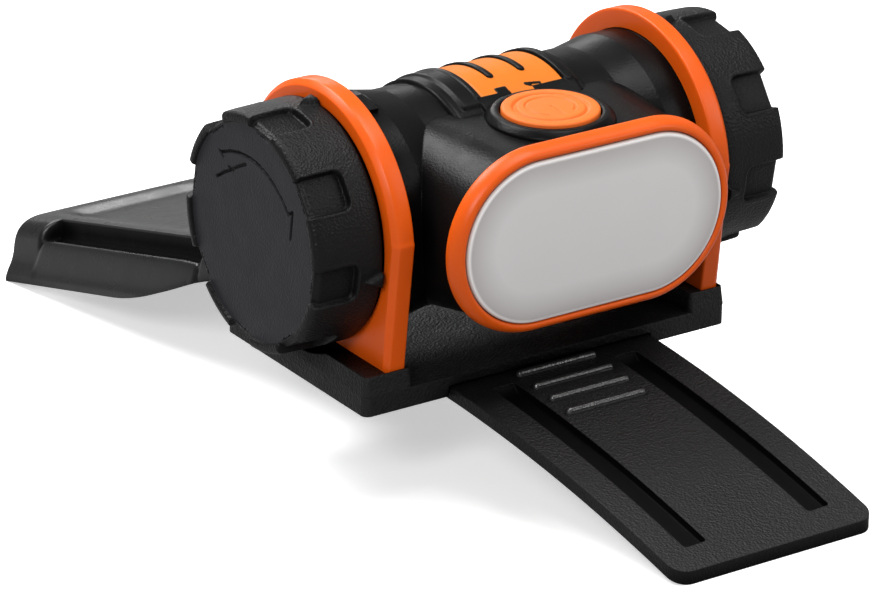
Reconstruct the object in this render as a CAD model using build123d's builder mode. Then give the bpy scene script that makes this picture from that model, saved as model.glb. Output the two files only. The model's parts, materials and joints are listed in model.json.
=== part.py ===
from build123d import *
import math
import os

os.makedirs("parts", exist_ok=True)

# ---------------------------------------------------------------- sizes (mm)
# Working frame: X runs along the battery barrel, the light shines to -Y, +Z is up from
# the base plate. X = 0 is midway between the brackets, Y = 0 is the barrel's axis,
# Z = 0 is the base plate's underside. Every piece is then tipped by REST_TILT about X,
# so that the front plate's tip and the rear saddle's feet stand on one level floor, and
# moved so that the origin is on that floor under the middle of the whole lamp.

BASE_X0, BASE_X1 = -35.0, 31.7
BASE_HALF_Y = 19.5
SLAB_TOP = 3.2
BLOCK_TOP = 6.2
CHANNEL_HALF_X = 20.7
CHANNEL_TOP = 1.7

AXIS_Z = 24.7
BARREL_R = 16.9
FLANGE_R = 17.9
JOURNAL_R = 17.95
BRACKET_BORE_R = 18.0
NECK_R = 14.9
BORE_R = 13.5
BRACKET_X0, BRACKET_X1 = 27.4, 31.0
BRACKET_R = 21.1
CAP_X0, CAP_X1 = 31.5, 42.5
CAP_R = 18.8
CAP_FACE_R = 17.2
CAP_BORE_R = 14.97
TAB_PROUD = 0.6
GAP_R = 17.7
GAP_WIDE = 5.9

SNOUT_Y = -26.0
SNOUT_Z = 26.1
LIGHT_L, LIGHT_H = 50.8, 29.5
LENS_L, LENS_H = 45.8, 25.2
BEZEL_T = 2.6

BTN_Y = -16.1
BTN_R = 7.5
COLLAR_R = 9.75
COLLAR_TOP = 40.9
PAD_X0, PAD_X1 = -12.0, 10.9
STRIPS = ((-6.2, -2.6), (-1.2, 3.2), (4.6, 8.8))
RIBS = ((-7.6, -6.2), (-2.6, -1.2), (3.2, 4.6), (8.8, 10.9))

PLATE_TOP, PLATE_T = 1.6, 2.1
FRONT_TIP_Y = -74.4
FRONT_FLAT_Y = -14.0
FRONT_LEAN = 0.077
FRONT_BEND_R = 278.0
FRONT_SKEW = 0.036
SLOT_X, SLOT_W, SLOT_DEPTH = 11.2, 4.1, 1.3
SLOT_Y0, SLOT_Y1 = -23.0, -69.6

REAR_TIP_Y = 112.0
REAR_HALF_X = 20.6
REAR_BEND_Y, REAR_BEND_R = 30.0, 108.0
REAR_SLOPE = 15.5


def save(name, part):
    """Tip a finished piece about X, so that the lamp stands level on its own feet, and write it."""
    part = Pos(0, Y_SHIFT, FLOOR_LIFT) * (Rot(X=REST_TILT) * part)
    part.label = name
    export_step(part, "parts/" + name + ".step")


# ---------------------------------------------------------------- side profiles
def front_line(y):
    """Underside of the front plate: flat in the base, a short bend, then a long arc."""
    d = max(0.0, FRONT_FLAT_Y - y)
    if d < 8.0:
        return PLATE_TOP - PLATE_T - FRONT_LEAN * d * d / 16.0
    return PLATE_TOP - PLATE_T - FRONT_LEAN * (d - 4.0) - (d - 8.0) ** 2 / (2 * FRONT_BEND_R)


def front_mid(y):
    """Middle of the front plate's width, which leans slightly to the right towards the tip."""
    return -1.3 + FRONT_SKEW * max(0.0, -22.0 - y)


def rear_line(y):
    """Top of the rear saddle at y."""
    d = max(0.0, y - REAR_BEND_Y)
    dmax = REAR_BEND_R * math.tan(math.radians(REAR_SLOPE))
    if d <= dmax:
        return PLATE_TOP - d * d / (2 * REAR_BEND_R)
    return (PLATE_TOP - dmax * dmax / (2 * REAR_BEND_R)
            - (d - dmax) * math.tan(math.radians(REAR_SLOPE)))


def skirt_depth(y):
    """Depth of the side skirts below the rear saddle's top at y."""
    if y < 32:
        return 2.1
    if y < 76:
        t = (y - 32) / 44.0
        return 2.1 + (11.0 - 2.1) * (t * t * (3 - 2 * t)) ** 0.85
    return 11.0


# The lamp stands on the front tip's underside and the saddle's feet at its tip.
_front = (FRONT_TIP_Y, front_line(FRONT_TIP_Y))
_rear = (REAR_TIP_Y, rear_line(REAR_TIP_Y) - skirt_depth(REAR_TIP_Y))
_a = math.atan2(_front[1] - _rear[1], _rear[0] - _front[0])
REST_TILT = math.degrees(_a)
FLOOR_LIFT = -(_front[0] * math.sin(_a) + _front[1] * math.cos(_a))
# The origin is under the middle of the whole lamp.
_y0 = FRONT_TIP_Y * math.cos(_a) - (_front[1] + PLATE_T) * math.sin(_a)
_y1 = _rear[0] * math.cos(_a) - _rear[1] * math.sin(_a)
Y_SHIFT = -(_y0 + _y1) / 2

# ---------------------------------------------------------------- base plate
with BuildPart() as base_plate:
    with BuildSketch(Plane.XY):
        with Locations(((BASE_X0 + BASE_X1) / 2, 0)):
            RectangleRounded(BASE_X1 - BASE_X0, 2 * BASE_HALF_Y, 1.2)
    extrude(amount=SLAB_TOP)
    # raised end blocks, drawn in a little all round
    for x0, x1 in ((BASE_X0, -26.3), (24.6, BASE_X1)):
        with BuildSketch(Plane.XY.offset(SLAB_TOP)):
            with Locations(((x0 + x1) / 2, 0)):
                RectangleRounded(x1 - x0, 2 * BASE_HALF_Y, 1.0)
        extrude(amount=BLOCK_TOP - SLAB_TOP, taper=8)
    # channel for the two strap pieces
    with Locations((0, (BASE_HALF_Y + 1) / 2, CHANNEL_TOP / 2)):
        Box(2 * CHANNEL_HALF_X, BASE_HALF_Y + 1, CHANNEL_TOP, mode=Mode.SUBTRACT)
    with Locations((front_mid(0), -(BASE_HALF_Y + 1) / 2, CHANNEL_TOP / 2)):
        Box(2 * 18.7, BASE_HALF_Y + 1, CHANNEL_TOP, mode=Mode.SUBTRACT)
    # pockets for the bracket feet
    for s in (-1, 1):
        with Locations((s * (BRACKET_X0 + BRACKET_X1) / 2, 0, 2.0 + 5)):
            Box(3.64, 37.7, 10, mode=Mode.SUBTRACT)
    # troughs that clear the end caps
    for s in (-1, 1):
        with Locations(Pos(s * 36.3, 0, AXIS_Z) * Rot(Y=90)):
            Cylinder(20.2, 10, mode=Mode.SUBTRACT)
    # screw holes: brackets (from below, into the feet) and strap pieces
    for s in (-1, 1):
        with Locations((s * 29.2, -12, 0), (s * 29.2, 12, 0)):
            Cylinder(0.95, 10, mode=Mode.SUBTRACT)
    for s in (-1, 1):
        with Locations((s * 29.2, -12, 0.5), (s * 29.2, 12, 0.5)):
            Cylinder(1.75, 1.0, mode=Mode.SUBTRACT)
    with Locations((-8, -11, 1.7 + 0.5), (8, -11, 2.2), (-8, 11, 2.2), (8, 11, 2.2)):
        Cylinder(0.85, 1.0, mode=Mode.SUBTRACT)
save("base_plate", base_plate.part)

# ---------------------------------------------------------------- front strap plate
ys = [-14.0, -16.0, -18.0, -20.0, -22.0, -27.0, -33.0, -40.0, -48.0, -56.0, -65.0, FRONT_TIP_Y]
# space of the two long grooves, down to their thin floor
with BuildPart() as groove_space:
    with BuildSketch(Plane.YZ.offset(-30)):
        with BuildLine():
            gy = [SLOT_Y0 + 1.0, -27.0, -33.0, -40.0, -48.0, -56.0, -64.0, SLOT_Y1 - 1.0]
            floor_line = [(y, front_line(y) + PLATE_T - SLOT_DEPTH) for y in gy]
            Polyline(*floor_line)
            Line(floor_line[-1], (gy[-1], 6))
            Line((gy[-1], 6), (gy[0], 6))
            Line((gy[0], 6), floor_line[0])
        make_face()
    extrude(amount=60)
    with BuildSketch(Plane.XY.offset(-20)):
        ym = (SLOT_Y0 + SLOT_Y1) / 2
        for s in (-1, 1):
            with Locations(Location((front_mid(ym) + s * SLOT_X, ym, 0), math.degrees(FRONT_SKEW))):
                RectangleRounded(SLOT_W, SLOT_Y0 - SLOT_Y1, 0.6)
    extrude(amount=40, mode=Mode.INTERSECT)
tip_slope = -(FRONT_LEAN + (-22.0 - FRONT_TIP_Y) / FRONT_BEND_R)
with BuildPart() as front_strap_plate:
    with BuildSketch(Plane.YZ) as _:
        with BuildLine():
            low = [(y, front_line(y)) for y in ys]
            top = [(y, front_line(y) + PLATE_T) for y in ys]
            l1 = Line((-0.3, low[0][1]), low[0])
            l2 = Spline(*low, tangents=((-1, 0), (-1, tip_slope)))
            l3 = Line(low[-1], top[-1])
            l4 = Spline(*top[::-1], tangents=((1, -tip_slope), (1, 0)))
            l5 = Line(top[0], (-0.3, top[0][1]))
            l6 = Line((-0.3, top[0][1]), (-0.3, low[0][1]))
        make_face()
    extrude(amount=21.3, both=True)
    # plan outline: nearly parallel sides, rounded tip corners
    c0, c1 = front_mid(-19.0), front_mid(FRONT_TIP_Y)
    w0, w1 = 18.4, 18.1
    with BuildSketch(Plane.XY.offset(-30)):
        with BuildLine():
            Polyline((c0 - w0, 0), (c0 - w0, -19.0), (c1 - w1, FRONT_TIP_Y + 2.8))
            ThreePointArc((c1 - w1, FRONT_TIP_Y + 2.8), (c1 - w1 + 0.82, FRONT_TIP_Y + 0.82), (c1 - w1 + 2.8, FRONT_TIP_Y))
            Line((c1 - w1 + 2.8, FRONT_TIP_Y), (c1 + w1 - 2.8, FRONT_TIP_Y))
            ThreePointArc((c1 + w1 - 2.8, FRONT_TIP_Y), (c1 + w1 - 0.82, FRONT_TIP_Y + 0.82), (c1 + w1, FRONT_TIP_Y + 2.8))
            Polyline((c1 + w1, FRONT_TIP_Y + 2.8), (c0 + w0, -19.0), (c0 + w0, 0))
            Line((c0 + w0, 0), (c0 - w0, 0))
        make_face()
    extrude(amount=60, mode=Mode.INTERSECT)
    add(groove_space.part, mode=Mode.SUBTRACT)
    # cross ribs on top between the grooves
    for y in (-21.3, -25.7, -29.9, -34.2):
        with Locations((-1.6, y, front_line(y) + PLATE_T - 0.1)):
            Box(13.4, 1.2, 1.0)
    # screw holes up into the base
    with Locations((-8, -11, 0), (8, -11, 0)):
        Cylinder(1.1, 8, mode=Mode.SUBTRACT)
save("front_strap_plate", front_strap_plate.part)

# ---------------------------------------------------------------- rear strap saddle
SKIN = 2.1
WINDOW_X = 16.6
WINDOW_DROP = 3.4
WINDOW_Y0, WINDOW_Y1 = 52.0, 103.0

SECTION = [
    (15.4, 0.0), (18.0, -0.5), (19.6, -1.7), (20.4, -3.4), (20.6, -5.2), (21.1, -7.2), (22.2, -9.4), (22.3, -11.0),
    (20.2, -11.0), (19.9, -9.6), (19.0, -7.6), (18.55, -5.4), (18.3, -3.9), (17.4, -2.7), (15.4, -SKIN),
]
sl = math.radians(REAR_SLOPE)
bend = [(0, REAR_BEND_Y + REAR_BEND_R * math.sin(t), PLATE_TOP - REAR_BEND_R * (1 - math.cos(t)))
        for t in (0.0, sl / 2, sl)]
far = (REAR_TIP_Y + 1.6 - bend[2][1])
with BuildLine() as run:
    Line((0, 0.3, PLATE_TOP), bend[0])
    ThreePointArc(*bend)
    Line(bend[2], (0, bend[2][1] + far, bend[2][2] - far * math.tan(sl)))
# backing under both shoulders, so that the grooves in them have a floor
with BuildPart() as shoulder_backing:
    for s in (-1, 1):
        with BuildSketch(Plane.XZ.offset(-0.3)) as bs:
            with BuildLine():
                Polyline(*[(s * x, PLATE_TOP + z) for x, z in
                           ((15.5, -1.6), (18.2, -2.2), (18.9, -4.0), (19.0, -5.2), (15.5, -5.2))], close=True)
            make_face()
        sweep(sections=bs.sketch, path=run.line)
    with Locations((0, (WINDOW_Y0 + WINDOW_Y1) / 2, -10)):
        Box(60, WINDOW_Y1 - WINDOW_Y0 + 4.4, 60, mode=Mode.INTERSECT)
with BuildPart() as rear_strap_saddle:
    with BuildSketch(Plane.XZ.offset(-0.3)) as sec:
        with BuildLine():
            Polyline(*[(x, PLATE_TOP + z) for x, z in SECTION], *[(-x, PLATE_TOP + z) for x, z in SECTION[::-1]],
                     close=True)
        make_face()
    sweep(sections=sec.sketch, path=run.line)
    # side profile: shallow by the base plate, full depth behind it, square end
    n = 24
    ys = [0.3 + (REAR_TIP_Y - 0.3) * k / n for k in range(n + 1)]
    with BuildSketch(Plane.YZ.offset(-40)):
        with BuildLine():
            lo = [(y, rear_line(y) - skirt_depth(y)) for y in ys]
            Line((0.3, 10), (REAR_TIP_Y, 10))
            Line((REAR_TIP_Y, 10), lo[-1])
            Polyline(*lo[::-1])
            Line(lo[0], (0.3, 10))
        make_face()
    extrude(amount=80, mode=Mode.INTERSECT)
    add(shoulder_backing.part)
    # long grooves in both shoulders
    for s in (-1, 1):
        with BuildSketch(Plane.YZ.offset(s * WINDOW_X)):
            with BuildLine():
                pts = [WINDOW_Y0 + (WINDOW_Y1 - WINDOW_Y0) * k / 8 for k in range(9)]
                lo = [(y, rear_line(y) - WINDOW_DROP) for y in pts]
                Line(lo[-1], (WINDOW_Y1 + 2.0, 8))
                Line((WINDOW_Y1 + 2.0, 8), (WINDOW_Y0 - 1.0, 8))
                Line((WINDOW_Y0 - 1.0, 8), lo[0])
                Polyline(*lo)
            make_face()
        extrude(amount=s * 10, mode=Mode.SUBTRACT)
        with BuildSketch(Plane.YZ.offset(s * WINDOW_X)):
            with BuildLine():
                lo = [(y, rear_line(y) - WINDOW_DROP - 0.8) for y in pts]
                Line(lo[-1], (WINDOW_Y1, 8))
                Line((WINDOW_Y1, 8), (WINDOW_Y0, 8))
                Line((WINDOW_Y0, 8), lo[0])
                Polyline(*lo)
            make_face()
        extrude(amount=s * 2.1, mode=Mode.SUBTRACT)
    # screw holes up into the base
    with Locations((-8, 11, 0), (8, 11, 0)):
        Cylinder(1.1, 8, mode=Mode.SUBTRACT)
save("rear_strap_saddle", rear_strap_saddle.part)

# ---------------------------------------------------------------- bracket rings
for side, s in (("left", -1), ("right", 1)):
    with BuildPart() as bracket:
        with BuildSketch(Plane.YZ.offset(s * BRACKET_X0)):
            with BuildLine():
                ThreePointArc((-BRACKET_R, AXIS_Z), (0, AXIS_Z + BRACKET_R), (BRACKET_R, AXIS_Z))
                Polyline((BRACKET_R, AXIS_Z), (18.2, 2.1), (-18.2, 2.1), (-BRACKET_R, AXIS_Z))
            make_face()
        extrude(amount=s * (BRACKET_X1 - BRACKET_X0 - 0.9))
        with BuildSketch(Plane.YZ.offset(s * (BRACKET_X1 - 0.9))):
            with BuildLine():
                ThreePointArc((-BRACKET_R, AXIS_Z), (0, AXIS_Z + BRACKET_R), (BRACKET_R, AXIS_Z))
                Polyline((BRACKET_R, AXIS_Z), (18.2, 2.1), (-18.2, 2.1), (-BRACKET_R, AXIS_Z))
            make_face()
        extrude(amount=s * 0.9, taper=42)
        with Locations(Pos(s * 29.2, 0, AXIS_Z) * Rot(Y=90)):
            Cylinder(BRACKET_BORE_R, 10, mode=Mode.SUBTRACT)
        with Locations((s * 29.2, -12, 2.0), (s * 29.2, 12, 2.0)):
            Cylinder(0.75, 9.0, mode=Mode.SUBTRACT)
    save(side + "_bracket_ring", bracket.part)

# ---------------------------------------------------------------- screws
def screw(x, y, z, length, head_r=1.6, shank_r=0.7, head_t=0.8):
    """Self-tapping screw, head down at z, shank up."""
    with BuildPart() as sc:
        with Locations((x, y, z + head_t / 2)):
            Cylinder(head_r, head_t)
        with Locations((x, y, z + head_t + length / 2)):
            Cylinder(shank_r, length)
        with Locations((x, y, z + 0.2)):
            Box(1.7, 0.4, 0.42, mode=Mode.SUBTRACT)
            Box(0.4, 1.7, 0.42, mode=Mode.SUBTRACT)
    return sc.part


grp = [screw(s * 29.2, y, 0.15, 4.2) for s in (-1, 1) for y in (-12, 12)]
save("bracket_screws", Compound(grp))
grp = [screw(x, y, PLATE_TOP - PLATE_T - 0.05 - 0.8, 3.2, head_r=1.7) for x in (-8, 8) for y in (-11, 11)]
save("strap_screws", Compound(grp))

PAD_A0, PAD_A1 = 35.0, 122.0


def ring_sector(r0, r1, x0, x1, a0, a1):
    """Band of the barrel between two angles (degrees from +Y towards +Z)."""
    with BuildPart() as p:
        with BuildSketch(Plane.XY):
            with Locations(((x0 + x1) / 2, (r0 + r1) / 2)):
                Rectangle(x1 - x0, r1 - r0)
        revolve(axis=Axis.X, revolution_arc=a1 - a0)
    return Pos(0, 0, AXIS_Z) * (Rot(X=a0) * p.part)


# ---------------------------------------------------------------- barrel housing
with BuildPart() as housing:
    with BuildSketch(Plane.XY):
        with BuildLine():
            Polyline((-27.1, 0), (-27.1, FLANGE_R), (-22.6, FLANGE_R), (-17.4, BARREL_R), (17.4, BARREL_R),
                     (22.6, FLANGE_R), (27.1, FLANGE_R), (27.1, 0), close=True)
        make_face()
    body = revolve(axis=Axis.X, mode=Mode.PRIVATE)
    add(Pos(0, 0, AXIS_Z) * body)
    for s in (-1, 1):
        with Locations(Pos(s * 29.05, 0, AXIS_Z) * Rot(Y=90)):
            Cylinder(JOURNAL_R, 3.9)
        with Locations(Pos(s * 34.5, 0, AXIS_Z) * Rot(Y=90)):
            Cylinder(NECK_R, 7.2)
    # snout: from the barrel to the light's rim
    with BuildSketch(Plane.XZ.offset(-SNOUT_Y)):
        with Locations((0, SNOUT_Z)):
            SlotOverall(48.0, 26.7)
    with BuildSketch(Plane.XZ.offset(3.0)):
        with Locations((0, AXIS_Z)):
            RectangleRounded(48.6, 30.4, 9.0)
    loft()
    # hollow for the battery tube
    with Locations(Pos(0, 0, AXIS_Z) * Rot(Y=90)):
        Cylinder(BORE_R, 2 * 40, mode=Mode.SUBTRACT)
    # light cavity and its rebate
    with BuildSketch(Plane.XZ.offset(-SNOUT_Y)):
        with Locations((0, SNOUT_Z)):
            SlotOverall(43.2, 21.6)
    extrude(amount=-(26.0 - 15.0), mode=Mode.SUBTRACT)
    # wire port from the cavity into the battery tube
    for x in (-17.5, 17.5):
        with Locations(Pos(x, -14.0, AXIS_Z) * Rot(X=90)):
            Cylinder(1.6, 4.0, mode=Mode.SUBTRACT)
    # switch pocket under the button, and the seat of the button's surround
    with Locations((0, BTN_Y, 37.4 + 2.5)):
        Cylinder(6.2, 5.0, mode=Mode.SUBTRACT)
    with Locations((0, BTN_Y, 38.5 + 3)):
        Cylinder(COLLAR_R + 0.03, 6.0, mode=Mode.SUBTRACT)
    # seat of the grip band over the barrel
    add(ring_sector(BARREL_R, 21, PAD_X0 - 0.05, PAD_X1 + 0.05, PAD_A0 - 0.3, PAD_A1 + 0.3), mode=Mode.SUBTRACT)
    # small raised bar on the left end flange
    for s in (-1,):
        for ang in (100.0,):
            a = math.radians(ang)
            with Locations(Pos(s * 25.4, (FLANGE_R + 0.1) * math.cos(a), AXIS_Z + (FLANGE_R + 0.1) * math.sin(a))
                           * Rot(X=ang - 90)):
                Box(3.2, 4.6, 1.0)
save("barrel_housing", housing.part)

# ---------------------------------------------------------------- end caps
BOSS_X = 34.0
for side, s in (("left", -1), ("right", 1)):
    with BuildPart() as cap:
        with BuildSketch(Plane.XY) as prof:
            # profile in (x, r), revolved about the barrel's axis
            with BuildLine():
                Polyline(
                    (CAP_X0, CAP_BORE_R), (CAP_X0, CAP_R - 0.3), (CAP_X0 + 0.3, CAP_R), (CAP_X1 + TAB_PROUD - 0.5, CAP_R - 0.25),
                    (CAP_X1 + TAB_PROUD, CAP_R - 0.75), (CAP_X1 + TAB_PROUD, CAP_FACE_R), (CAP_X1, CAP_FACE_R),
                    (CAP_X1, 0), (BOSS_X, 0), (BOSS_X, 9.0), (CAP_X1 - 2.4, 9.0), (CAP_X1 - 2.4, CAP_BORE_R),
                    close=True)
            make_face()
        revolve(axis=Axis.X)
        # gaps between the grip tabs, running part way along the side
        for k in range(8):
            ang = 77 - 22.5 - 45 * k
            with BuildSketch(Plane.XY.offset(GAP_R)):
                with Locations((41.0, 0)):
                    RectangleRounded(10.8, GAP_WIDE, 1.3)
            g = extrude(amount=3, mode=Mode.PRIVATE)
            add(Rot(X=ang - 90) * g, mode=Mode.SUBTRACT)
            with BuildSketch(Plane.XY.offset(CAP_FACE_R - 0.35)):
                with Locations((CAP_X1 + 2, 0)):
                    Rectangle(4.0, GAP_WIDE)
            g = extrude(amount=4, mode=Mode.PRIVATE)
            add(Rot(X=ang - 90) * g, mode=Mode.SUBTRACT)
        # pointer wedges on the rim by the bracket
        for ang in (91.0, 190.0, 290.0):
            with BuildSketch(Plane.XY.offset(CAP_R - 0.6)):
                with BuildLine():
                    Polyline((CAP_X0 + 0.2, -1.5), (CAP_X0 + 0.2, 1.5), (CAP_X0 + 3.2, 0), close=True)
                make_face()
            w = extrude(amount=1.4, mode=Mode.PRIVATE)
            add(Rot(X=ang - 90) * w)
    body = cap.part if s > 0 else mirror(cap.part, about=Plane.YZ)
    save(side + "_end_cap", Pos(0, 0, AXIS_Z) * body)

    # sealing ring in the bottom of the cap, bearing on the barrel's journal
    with BuildPart() as seal:
        with Locations(Pos(s * (CAP_X0 - 0.24), 0, AXIS_Z) * Rot(Y=90)):
            Cylinder(17.3, 0.44)
            Cylinder(15.2, 2, mode=Mode.SUBTRACT)
    save(side + "_cap_seal", seal.part)

    # contact disc pressed into the cap
    with BuildPart() as disc:
        with Locations(Pos(s * (BOSS_X - 0.3), 0, AXIS_Z) * Rot(Y=90)):
            Cylinder(11.0, 0.6)
    save(side + "_contact_disc", disc.part)

# contact springs between the caps' discs and the battery cartridge
with BuildPart() as springs:
    with BuildLine() as coil:
        Helix(pitch=1.45, height=5.6, radius=3.6, center=(0, 0, 0), direction=(0, 0, 1))
    with BuildSketch(Plane(origin=coil.line @ 0, z_dir=coil.line % 0)):
        Circle(0.35)
    sweep(is_frenet=True)
save("left_contact_spring", Pos(-(BOSS_X - 1.0), 0, AXIS_Z) * (Rot(Y=90) * springs.part))
save("right_contact_spring", Pos(BOSS_X - 1.0, 0, AXIS_Z) * (Rot(Y=-90) * springs.part))

# ---------------------------------------------------------------- battery cartridge and cells
CART_X = 26.9
CELL_R, CELL_L = 5.25, 44.5
CELL_C = 6.5
CELLS = [(CELL_C * math.cos(math.radians(a)), CELL_C * math.sin(math.radians(a))) for a in (90, 210, 330)]
with BuildPart() as cartridge:
    for s in (-1, 1):
        with Locations(Pos(s * (CART_X - 2.4), 0, AXIS_Z) * Rot(Y=90)):
            Cylinder(12.9, 4.8)
    with Locations(Pos(0, 0, AXIS_Z) * Rot(Y=90)):
        Cylinder(3.2, 2 * CART_X - 2)
    for a in (30, 150, 270):
        y, z = math.cos(math.radians(a)), math.sin(math.radians(a))
        with Locations(Pos(0, 9.5 * y, AXIS_Z + 9.5 * z) * Rot(X=a)):
            Box(2 * CART_X - 2, 5.6, 1.6)
    for y, z in CELLS:
        with Locations(Pos(0, y, AXIS_Z + z) * Rot(Y=90)):
            Cylinder(CELL_R + 0.15, 45.6, mode=Mode.SUBTRACT)
save("battery_cartridge", cartridge.part)

for name, sgn, (y, z) in zip(("top_battery_cell", "front_battery_cell", "rear_battery_cell"), (1, -1, 1), CELLS):
    with BuildPart() as cell:
        with Locations(Pos(0, y, AXIS_Z + z) * Rot(Y=90)):
            Cylinder(CELL_R, CELL_L - 1.0)
        with Locations(Pos(sgn * (CELL_L / 2), y, AXIS_Z + z) * Rot(Y=90)):
            Cylinder(1.9, 1.0)
        with Locations(Pos(-sgn * (CELL_L / 2 - 0.3), y, AXIS_Z + z) * Rot(Y=90)):
            Cylinder(3.6, 0.6)
    save(name, cell.part)

# ---------------------------------------------------------------- light head
def slab(name, y0, y1, length, height, z=SNOUT_Z):
    """Stadium plate between y0 (front) and y1 (back)."""
    with BuildPart() as p:
        with BuildSketch(Plane.XZ.offset(-y1)):
            with Locations((0, z)):
                SlotOverall(length, height)
        extrude(amount=y1 - y0)
    return p.part


# driver board with its parts, against the back of the cavity
with BuildPart() as driver_board:
    add(slab("", -17.0, -15.8, 42.4, 21.0))
    for x, z, w, h, t in ((-12, 2, 5, 5, 1.5), (-4, -4, 3, 2, 1.1), (4, 3, 4, 3, 1.2), (11, -3, 6, 4, 1.6)):
        with Locations((x, -17.0 - t / 2, SNOUT_Z + z)):
            Box(w, t, h)
save("driver_board", driver_board.part)

with BuildPart() as heat_spreader:
    add(slab("", -20.4, -19.2, 42.6, 21.2))
    for x in (-17.5, 17.5):
        with Locations(Pos(x, -18.1, SNOUT_Z) * Rot(X=90)):
            Cylinder(1.8, 2.2)
save("heat_spreader", heat_spreader.part)

save("led_board", slab("led_board", -21.4, -20.4, 42.6, 21.2))

grp = []
for x in (-14, -7, 0, 7, 14):
    for z in (-3.6, 3.6):
        with BuildPart() as led:
            with Locations((x, -21.8, SNOUT_Z + z)):
                Box(2.8, 0.8, 2.8)
            with Locations(Pos(x, -22.25, SNOUT_Z + z) * Rot(X=90)):
                Cylinder(1.1, 0.3)
        grp.append(led.part)
save("led_emitters", Compound(grp))

# white light tray in front of the board
with BuildPart() as tray:
    with BuildSketch(Plane.XZ.offset(25.6)):
        with Locations((0, SNOUT_Z)):
            SlotOverall(42.6, 21.2)
    extrude(amount=-4.1)
    with BuildSketch(Plane.XZ.offset(25.6)):
        with Locations((0, SNOUT_Z)):
            SlotOverall(41.2, 19.8)
    with BuildSketch(Plane.XZ.offset(21.5)):
        with Locations((0, SNOUT_Z)):
            SlotOverall(36.6, 15.8)
    loft(mode=Mode.SUBTRACT)
save("light_tray", tray.part)

# gasket on the snout's rim
with BuildPart() as gasket:
    add(slab("", -26.5, -26.0, 47.4, 26.1))
    add(slab("", -27.0, -25.0, 44.4, 23.0), mode=Mode.SUBTRACT)
save("bezel_gasket", gasket.part)

# frosted lens, with a flange that the bezel clamps to the gasket
with BuildPart() as lens:
    add(slab("", -27.3, -26.5, 47.0, 25.9))
    with BuildSketch(Plane.XZ.offset(27.3)):
        with Locations((0, SNOUT_Z)):
            SlotOverall(45.5, 24.9)
    extrude(amount=1.35)
    f = lens.faces().sort_by(Axis.Y)[0]
    fillet(f.edges(), radius=0.6)
save("diffuser_lens", lens.part)

# orange front bezel: slanted outer wall and a narrow front rim
with BuildPart() as bezel:
    with BuildSketch(Plane.XZ.offset(26.02)):
        with Locations((0, SNOUT_Z)):
            SlotOverall(LIGHT_L, LIGHT_H)
    extrude(amount=0.78)
    with BuildSketch(Plane.XZ.offset(26.8)):
        with Locations((0, SNOUT_Z)):
            SlotOverall(LIGHT_L, LIGHT_H)
    with BuildSketch(Plane.XZ.offset(25.9 + BEZEL_T)):
        with Locations((0, SNOUT_Z)):
            SlotOverall(LIGHT_L - 2.6, LIGHT_H - 2.6)
    loft()
    f = bezel.faces().sort_by(Axis.Y)[0]
    fillet(f.edges(), radius=0.35)
    add(slab("", -40, -20, LENS_L, LENS_H), mode=Mode.SUBTRACT)
    add(slab("", -27.35, -20, 47.5, 26.4), mode=Mode.SUBTRACT)
save("front_bezel", bezel.part)

# ---------------------------------------------------------------- top: collar, inlay, button, switch
with BuildPart() as collar:
    # saddle band lying on the barrel, with ribs running round it
    add(ring_sector(BARREL_R + 0.02, 17.5, PAD_X0, PAD_X1, PAD_A0, PAD_A1))
    for x0, x1 in RIBS:
        add(ring_sector(17.2, 18.1, x0, x1, PAD_A0, 104.0))
    # round surround for the button
    with Locations((0, BTN_Y, (38.5 + COLLAR_TOP) / 2)):
        Cylinder(COLLAR_R, COLLAR_TOP - 38.5)
    # keep clear of the barrel
    with Locations(Pos(0, 0, AXIS_Z) * Rot(Y=90)):
        Cylinder(BARREL_R + 0.02, 60, mode=Mode.SUBTRACT)
    # the button's well
    with Locations((0, BTN_Y, 42)):
        Cylinder(BTN_R + 0.25, 10, mode=Mode.SUBTRACT)
    # channels that hold the orange inlay
    for x0, x1 in STRIPS:
        add(ring_sector(17.1, 19.5, x0, x1, PAD_A0 + 3, 109.0), mode=Mode.SUBTRACT)
save("button_collar", collar.part)

grp = []
for x0, x1 in STRIPS:
    grp.append(ring_sector(17.15, 17.75, x0 + 0.05, x1 - 0.05, PAD_A0 + 3.2, 108.8))
save("top_inlay", Compound(grp))

with BuildPart() as button:
    with Locations((0, BTN_Y, 40.9)):
        Cylinder(BTN_R, 1.4)
    f = button.faces().sort_by(Axis.Z)[-1]
    fillet(f.edges(), radius=0.5)
    with Locations((0, BTN_Y, 41.6)):
        Cylinder(6.3, 0.5, mode=Mode.SUBTRACT)
    with Locations((0, BTN_Y, 41.55)):
        Cylinder(5.6, 0.5)
    with Locations((0, BTN_Y, 40.05)):
        Cylinder(1.6, 0.4)
save("power_button", button.part)

with BuildPart() as switch_board:
    with Locations((0, BTN_Y, 37.75)):
        Cylinder(5.9, 0.6)
save("switch_board", switch_board.part)
with BuildPart() as switch:
    with Locations((0, BTN_Y, 38.5)):
        Box(5.0, 5.0, 0.9)
    with Locations((0, BTN_Y, 39.1)):
        Cylinder(1.4, 0.3)
save("tact_switch", switch.part)

# ---------------------------------------------------------------- contact strips and wires
for side, s in (("left", -1), ("right", 1)):
    with BuildPart() as strip:
        with Locations((s * 19.5, -13.22, AXIS_Z)):
            Box(35.0, 0.3, 2.6)
    save(side + "_contact_strip", strip.part)
grp = []
for s in (-1, 1):
    with BuildPart() as wire:
        with Locations(Pos(s * 17.5, -14.6, AXIS_Z) * Rot(X=90)):
            Cylinder(0.5, 2.3)
    grp.append(wire.part)
save("lead_wires", Compound(grp))
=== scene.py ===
import bpy
import bmesh
import json
import math
import numpy as np
from mathutils import Vector, Matrix

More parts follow.
